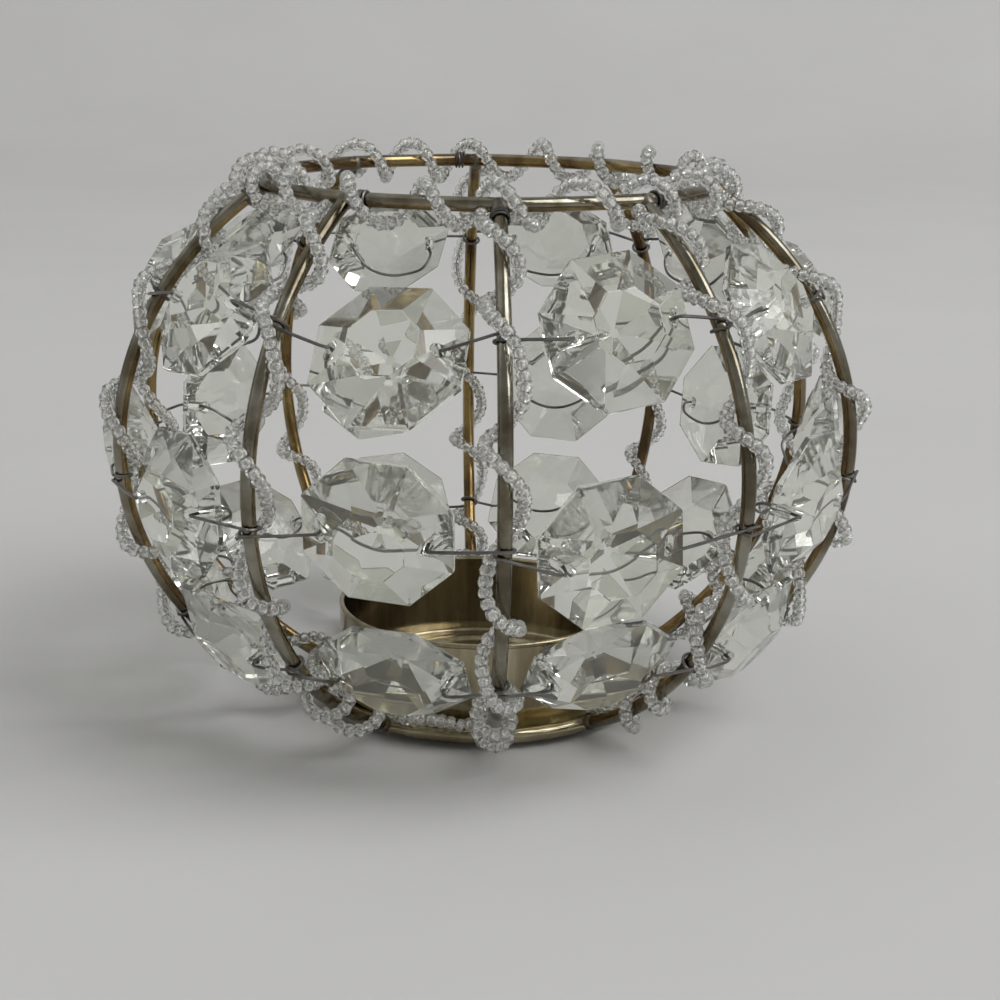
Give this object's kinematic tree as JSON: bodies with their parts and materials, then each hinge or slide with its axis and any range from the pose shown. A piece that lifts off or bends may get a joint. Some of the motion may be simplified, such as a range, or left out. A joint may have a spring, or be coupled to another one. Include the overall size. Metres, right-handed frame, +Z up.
{
  "type": "votive holder",
  "caption": "Round wire cage votive holder hung with clear octagon crystals and wound with seed bead strands, with a candle cup on a rolled-rim tray.",
  "frame": {"origin": "centre of the tray's flat underside, on the surface that the holder stands on", "axes": "+Z up along the cage's axis, the first rib faces -Y, +X to its right seen from the front"},
  "size_m": [0.1133, 0.1156, 0.083],
  "materials": {
    "cage_wire": "aged, worn plating",
    "tray_brass": "aged, dull",
    "thread_wire": "dull",
    "crystal": "clear, cut, polished",
    "seed_beads": "clear, polished"
  },
  "bodies": {
    "cage": {"base_tray": "tray_brass", "candle_cup": "tray_brass", "top_ring": "cage_wire", "rib_01": "cage_wire", "rib_02": "cage_wire", "rib_03": "cage_wire", "rib_04": "cage_wire", "rib_05": "cage_wire", "rib_06": "cage_wire", "rib_07": "cage_wire", "rib_08": "cage_wire", "rib_09": "cage_wire", "rib_10": "cage_wire", "rib_strand_01": "seed_beads", "rib_strand_02": "seed_beads", "rib_strand_03": "seed_beads", "rib_strand_04": "seed_beads", "rib_strand_05": "seed_beads", "top_ring_strand": "seed_beads", "top_row_wire": "thread_wire", "middle_row_wire": "thread_wire", "lower_row_wire": "thread_wire"},
    "top_crystal_01": {"top_crystal_01": "crystal"},
    "top_crystal_02": {"top_crystal_02": "crystal"},
    "top_crystal_03": {"top_crystal_03": "crystal"},
    "top_crystal_04": {"top_crystal_04": "crystal"},
    "top_crystal_05": {"top_crystal_05": "crystal"},
    "top_crystal_06": {"top_crystal_06": "crystal"},
    "top_crystal_07": {"top_crystal_07": "crystal"},
    "top_crystal_08": {"top_crystal_08": "crystal"},
    "top_crystal_09": {"top_crystal_09": "crystal"},
    "top_crystal_10": {"top_crystal_10": "crystal"},
    "middle_crystal_01": {"middle_crystal_01": "crystal"},
    "middle_crystal_02": {"middle_crystal_02": "crystal"},
    "middle_crystal_03": {"middle_crystal_03": "crystal"},
    "middle_crystal_04": {"middle_crystal_04": "crystal"},
    "middle_crystal_05": {"middle_crystal_05": "crystal"},
    "middle_crystal_06": {"middle_crystal_06": "crystal"},
    "middle_crystal_07": {"middle_crystal_07": "crystal"},
    "middle_crystal_08": {"middle_crystal_08": "crystal"},
    "middle_crystal_09": {"middle_crystal_09": "crystal"},
    "middle_crystal_10": {"middle_crystal_10": "crystal"},
    "lower_crystal_01": {"lower_crystal_01": "crystal"},
    "lower_crystal_02": {"lower_crystal_02": "crystal"},
    "lower_crystal_03": {"lower_crystal_03": "crystal"},
    "lower_crystal_04": {"lower_crystal_04": "crystal"},
    "lower_crystal_05": {"lower_crystal_05": "crystal"},
    "lower_crystal_06": {"lower_crystal_06": "crystal"},
    "lower_crystal_07": {"lower_crystal_07": "crystal"},
    "lower_crystal_08": {"lower_crystal_08": "crystal"},
    "lower_crystal_09": {"lower_crystal_09": "crystal"},
    "lower_crystal_10": {"lower_crystal_10": "crystal"}
  },
  "joints": [
    {"name": "top_crystal_01_rock", "type": "hinge", "parent": "cage", "child": "top_crystal_01", "pos_m": [0.01456, -0.04383, 0.0647], "axis": [0.9308, 0.3472, 0.1142], "range_deg": [-10, 10]},
    {"name": "top_crystal_02_rock", "type": "hinge", "parent": "cage", "child": "top_crystal_02", "pos_m": [0.03736, -0.02715, 0.0645], "axis": [0.6071, 0.7933, -0.046], "range_deg": [-10, 10]},
    {"name": "top_crystal_03_rock", "type": "hinge", "parent": "cage", "child": "top_crystal_03", "pos_m": [0.04619, 0.0005, 0.064], "axis": [0.0518, 0.9962, -0.0701], "range_deg": [-10, 10]},
    {"name": "top_crystal_04_rock", "type": "hinge", "parent": "cage", "child": "top_crystal_04", "pos_m": [0.0376, 0.02682, 0.0648], "axis": [-0.6058, 0.7942, 0.0469], "range_deg": [-10, 10]},
    {"name": "top_crystal_05_rock", "type": "hinge", "parent": "cage", "child": "top_crystal_05", "pos_m": [0.01408, 0.04399, 0.0645], "axis": [-0.9362, 0.3467, -0.0568], "range_deg": [-10, 10]},
    {"name": "top_crystal_06_rock", "type": "hinge", "parent": "cage", "child": "top_crystal_06", "pos_m": [-0.01427, 0.04392, 0.0641], "axis": [-0.9346, -0.3473, 0.0766], "range_deg": [-10, 10]},
    {"name": "top_crystal_07_rock", "type": "hinge", "parent": "cage", "child": "top_crystal_07", "pos_m": [-0.03701, 0.02763, 0.0647], "axis": [-0.6133, -0.7888, -0.041], "range_deg": [-10, 10]},
    {"name": "top_crystal_08_rock", "type": "hinge", "parent": "cage", "child": "top_crystal_08", "pos_m": [-0.04619, -0.0004, 0.0645], "axis": [0.0343, -0.9976, 0.0607], "range_deg": [-10, 10]},
    {"name": "top_crystal_09_rock", "type": "hinge", "parent": "cage", "child": "top_crystal_09", "pos_m": [-0.03736, -0.02715, 0.0648], "axis": [0.6191, -0.7833, 0.0568], "range_deg": [-10, 10]},
    {"name": "top_crystal_10_rock", "type": "hinge", "parent": "cage", "child": "top_crystal_10", "pos_m": [-0.01427, -0.04392, 0.0613], "axis": [0.9572, -0.2882, 0.0273], "range_deg": [-10, 10]},
    {"name": "middle_crystal_01_rock", "type": "hinge", "parent": "cage", "child": "middle_crystal_01", "pos_m": [0.01382, -0.0503, 0.03739], "axis": [0.9498, 0.2953, 0.1038], "range_deg": [-10, 10]},
    {"name": "middle_crystal_02_rock", "type": "hinge", "parent": "cage", "child": "middle_crystal_02", "pos_m": [0.04263, -0.02998, 0.03849], "axis": [0.5756, 0.8148, -0.0685], "range_deg": [-10, 10]},
    {"name": "middle_crystal_03_rock", "type": "hinge", "parent": "cage", "child": "middle_crystal_03", "pos_m": [0.05211, 0.0006, 0.03919], "axis": [0.0045, 0.9962, 0.087], "range_deg": [-10, 10]},
    {"name": "middle_crystal_04_rock", "type": "hinge", "parent": "cage", "child": "middle_crystal_04", "pos_m": [0.04263, 0.02998, 0.03889], "axis": [-0.5992, 0.7939, -0.1029], "range_deg": [-10, 10]},
    {"name": "middle_crystal_05_rock", "type": "hinge", "parent": "cage", "child": "middle_crystal_05", "pos_m": [0.01572, 0.04968, 0.03839], "axis": [-0.9498, 0.3086, 0.0523], "range_deg": [-10, 10]},
    {"name": "middle_crystal_06_rock", "type": "hinge", "parent": "cage", "child": "middle_crystal_06", "pos_m": [-0.01696, 0.04928, 0.03909], "axis": [-0.9454, -0.3186, -0.0689], "range_deg": [-10, 10]},
    {"name": "middle_crystal_07_rock", "type": "hinge", "parent": "cage", "child": "middle_crystal_07", "pos_m": [-0.04175, 0.0312, 0.03889], "axis": [-0.5875, -0.8025, 0.1045], "range_deg": [-10, 10]},
    {"name": "middle_crystal_08_rock", "type": "hinge", "parent": "cage", "child": "middle_crystal_08", "pos_m": [-0.05211, -0.0005, 0.03929], "axis": [0.0109, -0.9986, -0.0512], "range_deg": [-10, 10]},
    {"name": "middle_crystal_09_rock", "type": "hinge", "parent": "cage", "child": "middle_crystal_09", "pos_m": [-0.04245, -0.03022, 0.03859], "axis": [0.5863, -0.8084, 0.0523], "range_deg": [-10, 10]},
    {"name": "middle_crystal_10_rock", "type": "hinge", "parent": "cage", "child": "middle_crystal_10", "pos_m": [-0.01572, -0.04968, 0.03999], "axis": [0.9534, -0.2974, -0.051], "range_deg": [-10, 10]},
    {"name": "lower_crystal_01_rock", "type": "hinge", "parent": "cage", "child": "lower_crystal_01", "pos_m": [0.01356, -0.04172, 0.01905], "axis": [0.9574, 0.2876, 0.0268], "range_deg": [-10, 10]},
    {"name": "lower_crystal_02_rock", "type": "hinge", "parent": "cage", "child": "lower_crystal_02", "pos_m": [0.03549, -0.02579, 0.01805], "axis": [0.5794, 0.8149, -0.0142], "range_deg": [-10, 10]},
    {"name": "lower_crystal_03_rock", "type": "hinge", "parent": "cage", "child": "lower_crystal_03", "pos_m": [0.04387, 0, 0.01785], "axis": [0.0219, 0.9994, 0.0272], "range_deg": [-10, 10]},
    {"name": "lower_crystal_04_rock", "type": "hinge", "parent": "cage", "child": "lower_crystal_04", "pos_m": [0.03549, 0.02579, 0.01785], "axis": [-0.6044, 0.7962, -0.0279], "range_deg": [-10, 10]},
    {"name": "lower_crystal_05_rock", "type": "hinge", "parent": "cage", "child": "lower_crystal_05", "pos_m": [0.01356, 0.04172, 0.01805], "axis": [-0.9475, 0.3196, 0.0134], "range_deg": [-10, 10]},
    {"name": "lower_crystal_06_rock", "type": "hinge", "parent": "cage", "child": "lower_crystal_06", "pos_m": [-0.01356, 0.04172, 0.01785], "axis": [-0.944, -0.3287, -0.0279], "range_deg": [-10, 10]},
    {"name": "lower_crystal_07_rock", "type": "hinge", "parent": "cage", "child": "lower_crystal_07", "pos_m": [-0.03549, 0.02579, 0.01785], "axis": [-0.6051, -0.7957, 0.0272], "range_deg": [-10, 10]},
    {"name": "lower_crystal_08_rock", "type": "hinge", "parent": "cage", "child": "lower_crystal_08", "pos_m": [-0.04387, 0, 0.01805], "axis": [0.0102, -0.9998, -0.0142], "range_deg": [-10, 10]},
    {"name": "lower_crystal_09_rock", "type": "hinge", "parent": "cage", "child": "lower_crystal_09", "pos_m": [-0.03549, -0.02579, 0.01785], "axis": [0.5697, -0.8214, 0.0272], "range_deg": [-10, 10]},
    {"name": "lower_crystal_10_rock", "type": "hinge", "parent": "cage", "child": "lower_crystal_10", "pos_m": [-0.01356, -0.04172, 0.01845], "axis": [0.9574, -0.2876, -0.0268], "range_deg": [-10, 10]}
  ]
}
